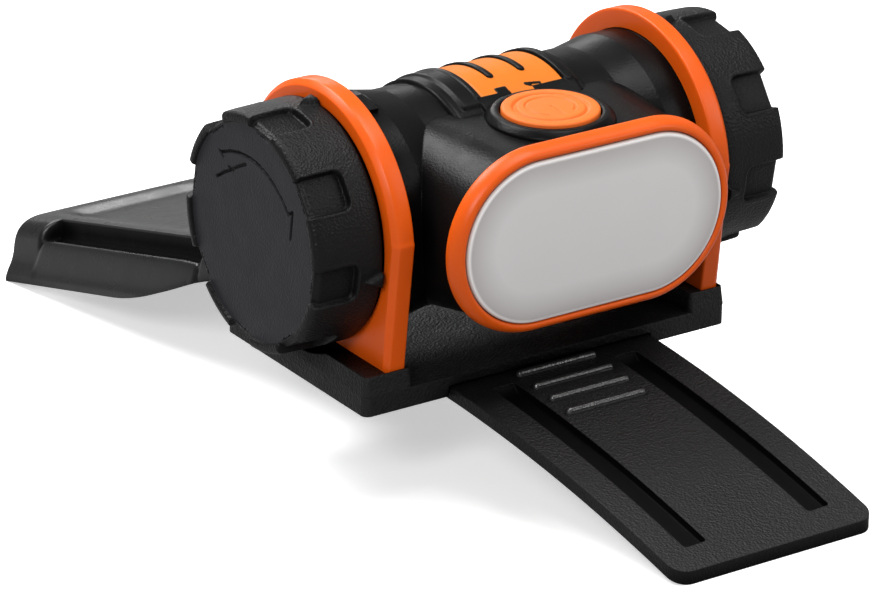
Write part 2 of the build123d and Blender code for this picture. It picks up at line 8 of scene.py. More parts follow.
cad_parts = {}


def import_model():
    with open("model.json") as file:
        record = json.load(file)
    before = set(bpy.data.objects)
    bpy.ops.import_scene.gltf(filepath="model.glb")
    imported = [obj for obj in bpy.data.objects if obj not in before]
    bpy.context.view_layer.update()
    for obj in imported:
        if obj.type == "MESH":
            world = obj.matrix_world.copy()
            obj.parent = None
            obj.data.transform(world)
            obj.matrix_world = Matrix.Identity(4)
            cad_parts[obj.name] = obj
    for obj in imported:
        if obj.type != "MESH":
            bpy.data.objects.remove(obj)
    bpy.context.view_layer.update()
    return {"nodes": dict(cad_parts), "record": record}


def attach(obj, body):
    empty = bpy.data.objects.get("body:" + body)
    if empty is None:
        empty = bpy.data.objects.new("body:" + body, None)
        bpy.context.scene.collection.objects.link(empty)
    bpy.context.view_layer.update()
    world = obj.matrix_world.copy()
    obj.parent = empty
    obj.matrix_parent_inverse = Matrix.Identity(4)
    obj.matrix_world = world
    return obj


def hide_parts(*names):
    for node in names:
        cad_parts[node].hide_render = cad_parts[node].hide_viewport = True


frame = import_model()
NODES = frame["nodes"]

# ------------------------------------------------------------------ the lamp's own frame
# Pieces are drawn in millimetres in the base plate's frame (X along the barrel, the light
# shines to -Y, Z up from the base plate), then tipped and lifted as the CAD part is.
PLATE_TOP, PLATE_T = 1.6, 2.1
FRONT_TIP_Y, FRONT_FLAT_Y, FRONT_LEAN, FRONT_BEND_R = -74.4, -14.0, 0.077, 278.0
REAR_TIP_Y, REAR_BEND_Y, REAR_BEND_R, REAR_SLOPE = 112.0, 30.0, 108.0, 15.5
AXIS_Z = 24.7
BTN_Y = -16.1


def front_line(y):
    d = max(0.0, FRONT_FLAT_Y - y)
    if d < 8.0:
        return PLATE_TOP - PLATE_T - FRONT_LEAN * d * d / 16.0
    return PLATE_TOP - PLATE_T - FRONT_LEAN * (d - 4.0) - (d - 8.0) ** 2 / (2 * FRONT_BEND_R)


def rear_line(y):
    d = max(0.0, y - REAR_BEND_Y)
    dmax = REAR_BEND_R * math.tan(math.radians(REAR_SLOPE))
    if d <= dmax:
        return PLATE_TOP - d * d / (2 * REAR_BEND_R)
    return PLATE_TOP - dmax * dmax / (2 * REAR_BEND_R) - (d - dmax) * math.tan(math.radians(REAR_SLOPE))


def skirt_depth(y):
    if y < 32:
        return 2.1
    if y < 76:
        t = (y - 32) / 44.0
        return 2.1 + (11.0 - 2.1) * (t * t * (3 - 2 * t)) ** 0.85
    return 11.0


_f = (FRONT_TIP_Y, front_line(FRONT_TIP_Y))
_r = (REAR_TIP_Y, rear_line(REAR_TIP_Y) - skirt_depth(REAR_TIP_Y))
TILT = math.atan2(_f[1] - _r[1], _r[0] - _f[0])
LIFT = -(_f[0] * math.sin(TILT) + _f[1] * math.cos(TILT))
YSH = -((FRONT_TIP_Y * math.cos(TILT) - (_f[1] + PLATE_T) * math.sin(TILT))
        + (_r[0] * math.cos(TILT) - _r[1] * math.sin(TILT))) / 2


def world(P):
    """(N, 3) millimetres in the base plate's frame to metres in the row's frame."""
    P = np.atleast_2d(np.asarray(P, float))
    c, s = math.cos(TILT), math.sin(TILT)
    return np.stack([P[:, 0], P[:, 1] * c - P[:, 2] * s + YSH, P[:, 1] * s + P[:, 2] * c + LIFT], 1) * 0.001


def direction(v):
    c, s = math.cos(TILT), math.sin(TILT)
    return Vector((v[0], v[1] * c - v[2] * s, v[1] * s + v[2] * c))


def mesh_object(name, verts, faces, smooth=True, attrs=None):
    me = bpy.data.meshes.new(name)
    me.from_pydata([tuple(v) for v in world(verts)], [], faces)
    me.validate()
    for key, vals in (attrs or {}).items():
        a = me.attributes.new(key, "FLOAT", "POINT")
        a.data.foreach_set("value", np.asarray(vals, np.float32))
    me.update()
    if smooth:
        me.shade_smooth()
    o = bpy.data.objects.new(name, me)
    bpy.context.scene.collection.objects.link(o)
    return o


def grid(nu, nv, wrap_u=False, wrap_v=False, flip=False, skip=None):
    """Quads of a grid of nu by nv points, index u * nv + v."""
    f = []
    for i in range(nu if wrap_u else nu - 1):
        for j in range(nv if wrap_v else nv - 1):
            if skip is not None and skip(i, j):
                continue
            a, b = i * nv + j, ((i + 1) % nu) * nv + j
            c, d = ((i + 1) % nu) * nv + (j + 1) % nv, i * nv + (j + 1) % nv
            f.append((a, d, c, b) if flip else (a, b, c, d))
    return f


def sstep(e0, e1, x):
    t = np.clip((x - e0) / (e1 - e0), 0, 1)
    return t * t * (3 - 2 * t)


def fix_normals(o):
    bm = bmesh.new()
    bm.from_mesh(o.data)
    bmesh.ops.recalc_face_normals(bm, faces=bm.faces)
    bm.to_mesh(o.data)
    bm.free()


def bevel(o, width, segments=3, angle=35):
    m = o.modifiers.new("bevel", "BEVEL")
    m.width = width * 0.001
    m.segments = segments
    m.limit_method = "ANGLE"
    m.angle_limit = math.radians(angle)
    m.harden_normals = True
    return m


def weighted(o):
    m = o.modifiers.new("weighted", "WEIGHTED_NORMAL")
    m.weight = 80
    m.keep_sharp = True
    return m


def put(o, body, slot_name, mat, *nodes):
    o.data.materials.clear()
    o.data.materials.append(mat)
    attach(o, body)
    if nodes:
        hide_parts(*nodes)
    return o


# ------------------------------------------------------------------ materials
def new_mat(name):
    m = bpy.data.materials.new(name)
    m.use_nodes = True
    nt = m.node_tree
    return m, nt, nt.nodes["Principled BSDF"]


def noise(nt, scale, detail=3.0, rough=0.55, coord="Object", dist=0.0):
    tc = nt.nodes.new("ShaderNodeTexCoord")
    n = nt.nodes.new("ShaderNodeTexNoise")
    n.inputs["Scale"].default_value = scale
    n.inputs["Detail"].default_value = detail
    n.inputs["Roughness"].default_value = rough
    n.inputs["Distortion"].default_value = dist
    nt.links.new(tc.outputs[coord], n.inputs["Vector"])
    return n


def ramp(nt, fac, stops):
    r = nt.nodes.new("ShaderNodeValToRGB")
    while len(r.color_ramp.elements) < len(stops):
        r.color_ramp.elements.new(0.5)
    for e, (p, c) in zip(r.color_ramp.elements, stops):
        e.position = p
        e.color = (c[0], c[1], c[2], 1.0) if len(c) == 3 else c
    nt.links.new(fac, r.inputs["Fac"])
    return r


def plastic(name, base, rough, spec=0.5, var=0.12, grain=0.0, grain_scale=2600.0, coat=0.0, sss=0.0, edge=0.0):
    """Moulded plastic: slight colour drift, uneven gloss, fine moulded grain."""
    m, nt, p = new_mat(name)
    n1 = noise(nt, 45.0, 2.0)
    lo = tuple(c * (1 - var) for c in base)
    hi = tuple(min(1.0, c * (1 + var)) for c in base)
    r1 = ramp(nt, n1.outputs["Fac"], [(0.3, lo), (0.7, hi)])
    nt.links.new(r1.outputs["Color"], p.inputs["Base Color"])
    n2 = noise(nt, 240.0, 4.0)
    mr = nt.nodes.new("ShaderNodeMapRange")
    mr.inputs["From Min"].default_value = 0.3
    mr.inputs["From Max"].default_value = 0.7
    mr.inputs["To Min"].default_value = max(0.0, rough - 0.05)
    mr.inputs["To Max"].default_value = min(1.0, rough + 0.05)
    nt.links.new(n2.outputs["Fac"], mr.inputs["Value"])
    nt.links.new(mr.outputs["Result"], p.inputs["Roughness"])
    p.inputs["Specular IOR Level"].default_value = spec
    if coat:
        p.inputs["Coat Weight"].default_value = coat
        p.inputs["Coat Roughness"].default_value = 0.15
    if sss:
        p.inputs["Subsurface Weight"].default_value = sss
        p.inputs["Subsurface Radius"].default_value = (0.0025, 0.0009, 0.0003)
        p.inputs["Subsurface Scale"].default_value = 1.0
    last = None
    if grain:
        tc = nt.nodes.new("ShaderNodeTexCoord")
        v = nt.nodes.new("ShaderNodeTexVoronoi")
        v.inputs["Scale"].default_value = grain_scale
        nt.links.new(tc.outputs["Object"], v.inputs["Vector"])
        g = noise(nt, grain_scale * 0.6, 3.0, 0.7)
        mix = nt.nodes.new("ShaderNodeMath")
        mix.operation = "ADD"
        nt.links.new(v.outputs["Distance"], mix.inputs[0])
        nt.links.new(g.outputs["Fac"], mix.inputs[1])
        b = nt.nodes.new("ShaderNodeBump")
        b.inputs["Strength"].default_value = grain
        b.inputs["Distance"].default_value = 0.00012
        nt.links.new(mix.outputs["Value"], b.inputs["Height"])
        last = b
    if edge:
        bv = nt.nodes.new("ShaderNodeBevel")
        bv.samples = 4
        bv.inputs["Radius"].default_value = edge * 0.001
        if last is not None:
            nt.links.new(bv.outputs["Normal"], last.inputs["Normal"])
        else:
            last = bv
    if last is not None:
        nt.links.new(last.outputs["Normal"], p.inputs["Normal"])
    return m


def metal(name, base, rough):
    m, nt, p = new_mat(name)
    n1 = noise(nt, 160.0, 4.0)
    r1 = ramp(nt, n1.outputs["Fac"], [(0.3, tuple(c * 0.85 for c in base)), (0.7, base)])
    nt.links.new(r1.outputs["Color"], p.inputs["Base Color"])
    p.inputs["Metallic"].default_value = 1.0
    mr = nt.nodes.new("ShaderNodeMapRange")
    mr.inputs["To Min"].default_value = max(0.0, rough - 0.08)
    mr.inputs["To Max"].default_value = rough + 0.08
    nt.links.new(n1.outputs["Fac"], mr.inputs["Value"])
    nt.links.new(mr.outputs["Result"], p.inputs["Roughness"])
    return m


def shaded(name, *args, ao=3.0, ao_power=1.6, **kw):
    """Plastic with painted shade: an ambient occlusion mask darkens the colour and dims the gloss in recesses."""
    m = plastic(name, *args, **kw)
    nt = m.node_tree
    p = nt.nodes["Principled BSDF"]
    a = nt.nodes.new("ShaderNodeAmbientOcclusion")
    a.samples = 6
    a.inputs["Distance"].default_value = ao * 0.001
    pw = nt.nodes.new("ShaderNodeMath")
    pw.operation = "POWER"
    pw.inputs[1].default_value = ao_power
    nt.links.new(a.outputs["AO"], pw.inputs[0])
    mul = nt.nodes.new("ShaderNodeMix")
    mul.data_type = "RGBA"
    mul.blend_type = "MULTIPLY"
    mul.inputs[0].default_value = 1.0
    src = p.inputs["Base Color"].links[0].from_socket
    nt.links.new(src, mul.inputs[6])
    nt.links.new(pw.outputs["Value"], mul.inputs[7])
    nt.links.new(mul.outputs[2], p.inputs["Base Color"])
    sp = nt.nodes.new("ShaderNodeMath")
    sp.operation = "MULTIPLY"
    sp.inputs[1].default_value = p.inputs["Specular IOR Level"].default_value
    nt.links.new(pw.outputs["Value"], sp.inputs[0])
    nt.links.new(sp.outputs["Value"], p.inputs["Specular IOR Level"])
    return m


def lens_material():
    m, nt, p = new_mat("lens frosted")
    at = nt.nodes.new("ShaderNodeAttribute")
    at.attribute_name = "edge"
    mr = nt.nodes.new("ShaderNodeMapRange")
    mr.inputs["From Max"].default_value = 6.0
    nt.links.new(at.outputs["Fac"], mr.inputs["Value"])
    # painted shade and highlight round the lens border: dark and orange-tinged right at the bezel, a thin pale painted
    # highlight on the lip, a darker band of painted shade, then lighter towards the middle
    r = ramp(nt, mr.outputs["Result"], [(0.0, (0.42, 0.32, 0.28)), (0.06, (0.9, 0.88, 0.87)), (0.13, (0.5, 0.47, 0.465)),
                                        (0.45, (0.6, 0.58, 0.575)), (0.85, (0.7, 0.685, 0.68))])
    n1 = noise(nt, 60.0, 2.0)
    r2 = ramp(nt, n1.outputs["Fac"], [(0.3, (0.97, 0.97, 0.97)), (0.7, (1.0, 1.0, 1.0))])
    mul = nt.nodes.new("ShaderNodeMix")
    mul.data_type = "RGBA"
    mul.blend_type = "MULTIPLY"
    mul.inputs[0].default_value = 1.0
    nt.links.new(r.outputs["Color"], mul.inputs[6])
    nt.links.new(r2.outputs["Color"], mul.inputs[7])
    nt.links.new(mul.outputs[2], p.inputs["Base Color"])
    p.inputs["Roughness"].default_value = 0.38
    p.inputs["Specular IOR Level"].default_value = 0.35
    p.inputs["Subsurface Weight"].default_value = 0.2
    p.inputs["Subsurface Radius"].default_value = (0.002, 0.002, 0.002)
    p.inputs["Subsurface Scale"].default_value = 1.0
    return m


# the black mouldings made with shaded() carry painted shade in their recesses
M = {
    "black_grained": shaded("black grained", (0.0045, 0.0045, 0.0047), 0.5, 0.3, 0.2, grain=0.95, grain_scale=2400, edge=0.35, ao=5.0),
    "black_satin": shaded("black satin", (0.005, 0.005, 0.0052), 0.3, 0.42, 0.15, grain=0.06, grain_scale=1600, ao=5.0),
    "black_housing": shaded("black housing", (0.003, 0.003, 0.0031), 0.33, 0.13, 0.15, grain=0.14, grain_scale=2600, edge=0.3, ao=4.0),
    "black_cap": shaded("black cap", (0.0045, 0.0045, 0.0048), 0.42, 0.19, 0.15, grain=0.6, grain_scale=2600, ao=2.5),
    "orange_plastic": plastic("orange plastic", (0.72, 0.095, 0.004), 0.34, 0.25, 0.05, sss=0.15),
    "orange_soft": plastic("orange soft", (0.62, 0.16, 0.012), 0.45, 0.2, 0.05, sss=0.15, grain=0.08),
    "orange_button": plastic("orange button", (0.74, 0.15, 0.02), 0.5, 0.22, 0.05, sss=0.15, grain=0.08),
    "screw_steel": metal("screw steel", (0.5, 0.5, 0.52), 0.35),
    "seal_rubber": plastic("seal rubber", (0.02, 0.02, 0.02), 0.7, 0.3, 0.2),
    "contact_brass": metal("contact brass", (0.75, 0.58, 0.28), 0.3),
    "contact_steel": metal("contact steel", (0.75, 0.75, 0.76), 0.22),
    "cartridge_plastic": plastic("cartridge plastic", (0.03, 0.03, 0.032), 0.5, 0.4, 0.2),
    "cell_jacket": plastic("cell jacket", (0.05, 0.1, 0.2), 0.3, 0.5, 0.1),
    "board_green": plastic("board green", (0.015, 0.14, 0.05), 0.35, 0.5, 0.2),
    "board_white": plastic("board white", (0.75, 0.75, 0.75), 0.4, 0.5, 0.05),
    "spreader_aluminium": metal("spreader aluminium", (0.78, 0.79, 0.8), 0.35),
    "led_phosphor": plastic("led phosphor", (0.85, 0.66, 0.12), 0.4, 0.5, 0.08),
    "tray_white": plastic("tray white", (0.85, 0.85, 0.85), 0.35, 0.5, 0.03),
    "switch_black": plastic("switch black", (0.03, 0.03, 0.03), 0.45, 0.5, 0.2),
    "wire_red": plastic("wire red", (0.5, 0.02, 0.02), 0.4, 0.5, 0.1),
    "lens_frosted": lens_material(),
}
# painted shade: the rear saddle's groove mask takes nearly all gloss off the black satin there, so the grooves read
# dark as in shade
nt_ = M["black_satin"].node_tree
p_ = nt_.nodes["Principled BSDF"]
at_ = nt_.nodes.new("ShaderNodeAttribute")
at_.attribute_name = "groove"
inv_ = nt_.nodes.new("ShaderNodeMath")
inv_.operation = "MULTIPLY_ADD"
inv_.inputs[1].default_value = -0.92
inv_.inputs[2].default_value = 1.0
nt_.links.new(at_.outputs["Fac"], inv_.inputs[0])
mm_ = nt_.nodes.new("ShaderNodeMath")
mm_.operation = "MULTIPLY"
nt_.links.new(p_.inputs["Specular IOR Level"].links[0].from_socket, mm_.inputs[0])
nt_.links.new(inv_.outputs["Value"], mm_.inputs[1])
nt_.links.new(mm_.outputs["Value"], p_.inputs["Specular IOR Level"])
# the cap's flat face gets a lighter bluish grey and less grain; the engraved arrows are left out of it and keep the
# darker side colour as painted shade in the engraving
ntc = M["black_cap"].node_tree
pc = ntc.nodes["Principled BSDF"]
atc = ntc.nodes.new("ShaderNodeAttribute")
atc.attribute_name = "face"
mxc = ntc.nodes.new("ShaderNodeMix")
mxc.data_type = "RGBA"
mxc.inputs[7].default_value = (0.016, 0.0155, 0.0195, 1.0)
ntc.links.new(atc.outputs["Fac"], mxc.inputs[0])
ntc.links.new(pc.inputs["Base Color"].links[0].from_socket, mxc.inputs[6])
ntc.links.new(mxc.outputs[2], pc.inputs["Base Color"])
bmp = [n for n in ntc.nodes if n.type == "BUMP"][0]
inc = ntc.nodes.new("ShaderNodeMath")
inc.operation = "MULTIPLY_ADD"
inc.inputs[1].default_value = -0.33
inc.inputs[2].default_value = bmp.inputs["Strength"].default_value
ntc.links.new(atc.outputs["Fac"], inc.inputs[0])
ntc.links.new(inc.outputs["Value"], bmp.inputs["Strength"])
# near-black material for sheets laid in the front plate's grooves: painted shade
M["groove_black"] = plastic("groove shade black", (0.0012, 0.0012, 0.0012), 0.55, 0.06, 0.2)
for e in frame["record"]["subparts"]:
    o = NODES[e["node"]]
    o.data.materials.clear()
    o.data.materials.append(M[e["material_slot"]])

# ------------------------------------------------------------------ screw caps
GAPS = [math.radians(77 - 22.5 - 45 * k) for k in range(8)]
WEDGES = [math.radians(a) for a in (91, 190, 290)]
ARROWS = [
    [(48.2, 13.6), (49.6, 12.4)],
    [(49.0, 13.3), (62.0, 12.6), (74.3, 12.1), (87.0, 11.8), (100.6, 11.6), (113.0, 11.5), (125.2, 11.5), (136.0, 11.65), (147.5, 11.9)],
    [(147.5, 11.9), (147.5, 13.2), (165.8, 10.9)],
    [(29.8, 11.5), (42.0, 10.6), (54.0, 10.0), (67.0, 10.1), (79.9, 10.5)],
    [(52.4, 10.6), (56.3, 9.55)],
]


def wrap(a):
    return (a + math.pi) % (2 * math.pi) - math.pi


def cap_mesh(name, side):
    ang = set(np.radians(np.arange(0, 360, 0.5)).round(6))
    for g in GAPS:
        for s in (-1, 1):
            for k in range(-9, 8):
                ang.add(round(float((g + s * math.radians(9.35 + k * 0.16)) % (2 * math.pi)), 6))
    for w in WEDGES:
        for k in range(-14, 15):
            ang.add(round(float((w + math.radians(k * 0.33)) % (2 * math.pi)), 6))
    ang = np.array(sorted(ang))
    keep = [0]
    for i in range(1, len(ang)):
        if ang[i] - ang[keep[-1]] > math.radians(0.07):
            keep.append(i)
    ang = ang[keep]
    n = len(ang)
    du = np.full(n, 1e9)
    for g in GAPS:
        d = wrap(ang - g)
        du = np.where(np.abs(d) < np.abs(du), d, du)
    u = np.abs(du) * 18.0
    floor = 17.55 / np.cos(np.clip(du, -0.3, 0.3))
    rings = [((34.0, 0.02), None), ((34.0, 8.7), None), ((34.3, 9.0), None), ((40.4, 9.0), None), ((40.4, 14.97), None),
             ((31.75, 14.97), None), ((31.5, 15.2), None), ((31.5, 18.3), None), ((31.56, 18.55), None),
             ((31.7, 18.72), None), ((31.9, 18.8), None)]
    for x in (32.3, 32.8, 33.3, 33.8, 34.3, 34.6, 34.9, 35.15, 35.3, 35.42, 35.54, 35.66, 35.78, 35.9, 36.05, 36.2, 36.4,
              36.6, 36.8, 37.1, 37.6, 38.5, 39.5, 40.5):
        rings.append(((x, 18.8 - 0.022 * (x - 32)), "side"))
    end = [((41.5, 18.6), (41.35, 0.0)), ((42.2, 18.56), (41.7, 0.0)), ((42.6, 18.46), (41.85, -0.06)), ((42.86, 18.24), (42.0, -0.2)),
           ((43.02, 17.95), (42.16, -0.36)), ((43.08, 17.6), (42.3, -0.47)), ((43.09, 17.3), (42.42, -0.56)),
           ((43.06, 17.12), (42.48, -0.66)), ((42.96, 17.0), (42.5, -0.76)), ((42.8, 16.92), (42.5, -0.86)), ((42.64, 16.86), (42.5, -0.96)),
           ((42.54, 16.78), (42.5, -1.06))]
    V = []
    for (x, r), kind in rings:
        xx, rr = np.full(n, x), np.full(n, r)
        if kind == "side":
            qx = np.abs(np.maximum(35.75 - x, -50.0))
            # rounded inner corners of the gap, radius 1.3
            ax = 35.75 + 1.3 - x
            au = u - (2.95 - 1.3)
            sd = np.where((ax > 0) & (au > 0), np.hypot(np.maximum(ax, 0), np.maximum(au, 0)) - 1.3,
                          np.maximum(35.75 - x, u - 2.95))
            m = 1 - sstep(-0.16, 0.2, sd)
            rr = rr * (1 - m) + floor * m
            # small raised edge line round the gap
            rr = rr + 0.06 * np.exp(-((sd - 0.42) / 0.18) ** 2)
        if kind == "side" or x > 31.55 and r > 18:
            for w in WEDGES:
                du_w = np.abs(wrap(ang - w)) * 18.8
                half = 1.45 * np.clip((34.9 - x) / 3.2, 0, 1)
                h = 1.0 * sstep(0.0, 0.5, (half - du_w)) * np.clip((34.9 - x) / 0.8, 0, 1)
                rr = rr + h * (1 if x > 31.8 else 0.75)
        V.append((xx, rr))
    for (lx, lr), (gx, go) in end:
        m = 1 - sstep(-0.2, 0.24, u - 2.95)
        V.append((lx * (1 - m) + gx * m, lr * (1 - m) + (floor + go) * m))
    radii = [16.6, 16.2, 15.6, 14.9, 14.3] + list(np.arange(13.9, 9.0, -0.13)) + [8.5, 7.5, 6, 4.5, 3, 1.5, 0.02]
    segs = []
    for poly in ARROWS:
        pts = [(r * math.cos(math.radians(a)), r * math.sin(math.radians(a))) for a, r in poly]
        segs += list(zip(pts[:-1], pts[1:]))
    face_tone_arrow_shade = []
    for r in radii:
        yy, zz = r * np.cos(ang), r * np.sin(ang)
        if side > 0:
            yy = -yy
        d = np.full(n, 9.0)
        if 9.0 < r < 14.2:
            for (ay, az), (by, bz) in segs:
                ex, ez = by - ay, bz - az
                t = np.clip(((yy - ay) * ex + (zz - az) * ez) / (ex * ex + ez * ez), 0, 1)
                d = np.minimum(d, np.hypot(yy - ay - t * ex, zz - az - t * ez))
        cut = 1 - sstep(0.12, 0.3, d)
        # arrow engravings get 0: they keep the cap side's darker colour, painted shade in the engraving
        face_tone_arrow_shade.append(1 - cut)
        V.append((np.full(n, 42.5) - 0.34 * cut, np.full(n, r)))
    P = []
    for xx, rr in V:
        P.append(np.stack([side * xx, rr * np.cos(ang), rr * np.sin(ang) + AXIS_Z], 1))
    P = np.concatenate(P)
    faces = grid(len(V), n, wrap_v=True, flip=side < 0)
    n_side = len(V) - len(radii)
    face = np.concatenate([np.zeros((n_side - 1) * n), np.ones(n)] + face_tone_arrow_shade)
    o = mesh_object(name, P, faces, attrs={"face": face})
    weighted(o)
    return o


cap_l = put(cap_mesh("left_cap_shell", -1), "left_cap", "black_cap", M["black_cap"], "left_end_cap")
cap_r = put(cap_mesh("right_cap_shell", 1), "right_cap", "black_cap", M["black_cap"], "right_end_cap")

# ------------------------------------------------------------------ bracket rings


def ring_outline(phi):
    """Distance from the barrel's axis to the ring's outline: an arch on two legs that taper a little."""
    c, s = math.cos(phi), math.sin(phi)
    best = 21.1
    if s < 0.12:
        # leg side: from (21.05, +1.5) to (18.2, 2.1 - AXIS_Z)
        x0, z0, x1, z1 = 21.05, 1.5, 18.2, 2.1 - AXIS_Z
        nx, nz = (z0 - z1), -(x0 - x1)
        L = math.hypot(nx, nz)
        nx, nz = nx / L, nz / L
        dd = nx * x0 + nz * z0
        den = nx * abs(c) + nz * s
        if den > 1e-6:
            best = dd / den
    if s < 0:
        best = min(best, (AXIS_Z - 2.1) / -s)
    return best


def ring_mesh(name, side):
    ph = np.radians(np.arange(0, 360, 1.0))
    corner = math.atan2(2.1 - AXIS_Z, 18.2)
    ph = np.array(sorted(set(ph.round(6)) | {round((corner + k * 0.004) % (2 * math.pi), 6) for k in (-1, 0, 1)}
                         | {round((math.pi - corner + k * 0.004) % (2 * math.pi), 6) for k in (-1, 0, 1)}))
    out = np.array([ring_outline(p) for p in ph])
    prof = [(27.4, None, 18.05), (27.4, 0.5, None), (27.43, 0.28, None), (27.5, 0.12, None), (27.62, 0.03, None), (27.8, 0.0, None),
            (29.0, 0.0, None), (29.98, 0.0, None), (30.1, 0.03, None), (30.22, 0.1, None), (30.84, 0.76, None), (30.94, 0.88, None),
            (31.0, 1.04, None), (31.0, None, 18.4), (30.93, None, 18.15), (30.75, None, 18.02), (27.6, None, 18.0)]
    P = []
    for x, off, r in prof:
        rr = np.full(len(ph), r) if r is not None else out - off
        P.append(np.stack([np.full(len(ph), side * x), rr * np.cos(ph), rr * np.sin(ph) + AXIS_Z], 1))
    P = np.concatenate(P)
    o = mesh_object(name, P, grid(len(prof), len(ph), wrap_u=True, wrap_v=True, flip=side > 0))
    fix_normals(o)
    weighted(o)
    return o


put(ring_mesh("left_ring_shell", -1), "stand", "orange_plastic", M["orange_plastic"], "left_bracket_ring")
put(ring_mesh("right_ring_shell", 1), "stand", "orange_plastic", M["orange_plastic"], "right_bracket_ring")

# ------------------------------------------------------------------ rear saddle
def skirt(y):
    return skirt_depth(y)


def catmull(P, n):
    P = np.asarray(P, float)
    Q = np.vstack([2 * P[0] - P[1], P, 2 * P[-1] - P[-2]])
    out = []
    for i in range(len(P) - 1):
        for t in np.arange(n) / n:
            a, b, c, d = Q[i], Q[i + 1], Q[i + 2], Q[i + 3]
            out.append(0.5 * ((2 * b) + (c - a) * t + (2 * a - 5 * b + 4 * c - d) * t * t + (3 * b - a - 3 * c + d) * t ** 3))
    out.append(P[-1])
    return np.array(out)


OUTER = [(0, 0.0), (5, 0.0), (10, 0.0), (14.2, -0.02), (16.4, -0.12), (18.2, -0.62), (19.5, -1.6), (20.2, -2.9), (20.5, -4.3), (20.7, -5.8),
         (21.15, -7.4), (21.8, -8.8), (22.25, -10.0), (22.3, -11.0)]
GROOVE = [(0, 0.0), (5, 0.0), (10, 0.0), (14.2, -0.05), (16.1, -0.1), (16.6, -0.55), (16.75, -3.4), (18.3, -4.1), (19.1, -3.55), (20.1, -3.55),
          (20.75, -5.0), (21.6, -8.4), (22.2, -10.0), (22.3, -11.0)]
INNER = [(20.2, -11.0), (19.9, -9.6), (19.0, -7.6), (18.6, -6.2), (17.8, -5.4), (15.6, -5.2), (14.4, -3.6), (10, -2.1), (5, -2.1), (0, -2.1)]
INNER_THIN = [(20.2, -11.0), (19.9, -9.6), (19.0, -7.6), (18.55, -5.6), (18.3, -4.2), (17.6, -2.9), (16.0, -2.2), (10, -2.1), (5, -2.1), (0, -2.1)]


def saddle_mesh():
    ys = sorted(set(np.round(np.concatenate([np.linspace(0.3, 48, 34), np.linspace(48, 56, 22), np.linspace(56, 99, 34),
                                             np.linspace(99, 107, 22), np.linspace(107, 111.4, 6),
                                             [111.6, 111.75, 111.86, 111.95, 112.0]]), 4)))
    o1, o2 = catmull(OUTER, 5), catmull(GROOVE, 5)
    i1, i2 = catmull(INNER_THIN, 3), catmull(INNER, 3)
    rows, dark = [], []
    for y in ys:
        z0 = rear_line(y)
        depth = skirt(y)
        m = float(sstep(51.3, 53.0, y) * (1 - sstep(102.0, 103.8, y)))
        mi = float(sstep(50.0, 51.2, y) * (1 - sstep(104.2, 105.4, y)))
        o = o1 * (1 - m) + o2 * m
        dish = float(sstep(40.0, 50.0, y) * (1 - sstep(104.0, 110.0, y)))
        o[:, 1] -= 1.1 * dish * (1 - sstep(9.5, 15.2, np.abs(o[:, 0]))) * (np.abs(o[:, 0]) < 15.3)
        i = i1 * (1 - mi) + i2 * mi
        end = max(0.0, (y - 111.4) / 0.6)
        shrink = 0.55 * (1 - math.sqrt(max(0.0, 1 - end * end)))
        o = o.copy()
        o[:, 1] -= shrink * np.clip(1 - np.abs(o[:, 1]) / 11.0, 0.2, 1)
        half = np.concatenate([o, i])
        # everything below the skirt's edge is pulled up to it
        half = half.copy()
        low = -depth
        half[:, 1] = np.maximum(half[:, 1], low)
        rows.append([(x, y, z0 + z) for x, z in half])
        # mask of the groove floors and walls, used by the black satin as painted shade (gloss taken away)
        dd = np.zeros(len(half))
        deep = o1[:, 1] * 0 + np.array([1.0 if 16.55 < abs(px) < 19.3 and -4.3 < pz < -0.5 else 0.0 for px, pz in o2])
        dd[:len(o)] = deep * m
        dark.append(dd)
    R = np.array(rows)
    full = np.concatenate([R, (R * np.array([-1, 1, 1]))[:, ::-1]], 1)
    ny, ns = full.shape[0], full.shape[1]
    P = full.reshape(-1, 3)
    D = np.array(dark)
    D = np.concatenate([D, D[:, ::-1]], 1).reshape(-1)
    faces = grid(ny, ns, wrap_v=True)
    faces.append(tuple(range(ns)))
    faces.append(tuple(((ny - 1) * ns + k) for k in range(ns))[::-1])
    o = mesh_object("rear_saddle_shell", P, faces, attrs={"groove": D})
    bm = bmesh.new()
    bm.from_mesh(o.data)
    bmesh.ops.remove_doubles(bm, verts=bm.verts, dist=0.00002)
    bmesh.ops.recalc_face_normals(bm, faces=bm.faces)
    bm.to_mesh(o.data)
    bm.free()
    o.data.shade_smooth()
    m = o.modifiers.new("edges", "EDGE_SPLIT")
    m.split_angle = math.radians(50)
    return o


put(saddle_mesh(), "stand", "black_satin", M["black_satin"], "rear_strap_saddle")


# ------------------------------------------------------------------ painted shade: near-black sheets laid in the front plate's two grooves
def front_mid(y):
    return -1.3 + 0.036 * max(0.0, -22.0 - y)


for side, nm in ((-1, "left_groove_shade_sheet"), (1, "right_groove_shade_sheet")):
    yy = np.linspace(-23.05, -69.55, 60)
    sect = [(-2.03, -0.12), (-2.02, -1.0), (-1.95, -1.2), (-1.75, -1.26), (-0.6, -1.28), (0.6, -1.28), (1.75, -1.26), (1.95, -1.2), (2.02, -1.0), (2.03, -0.12)]
    P = []
    for k, y in enumerate(yy):
        e = min(k, len(yy) - 1 - k)
        lift_ = 1.1 if e == 0 else (0.0 if e > 1 else 0.05)
        w = 0.9 if e == 0 else 1.0
        for sx, sz in sect:
            P.append((front_mid(y) + side * 11.2 + sx * w, y, front_line(y) + PLATE_T + min(sz + lift_, -0.12)))
    o = mesh_object(nm, P, grid(len(yy), len(sect)))
    fix_normals(o)
    bmx = bmesh.new()
    bmx.from_mesh(o.data)
    if sum(f.normal.z for f in bmx.faces) < 0:
        bmesh.ops.reverse_faces(bmx, faces=bmx.faces)
    bmx.to_mesh(o.data)
    bmx.free()
    put(o, "stand", "black_grained", M["groove_black"])

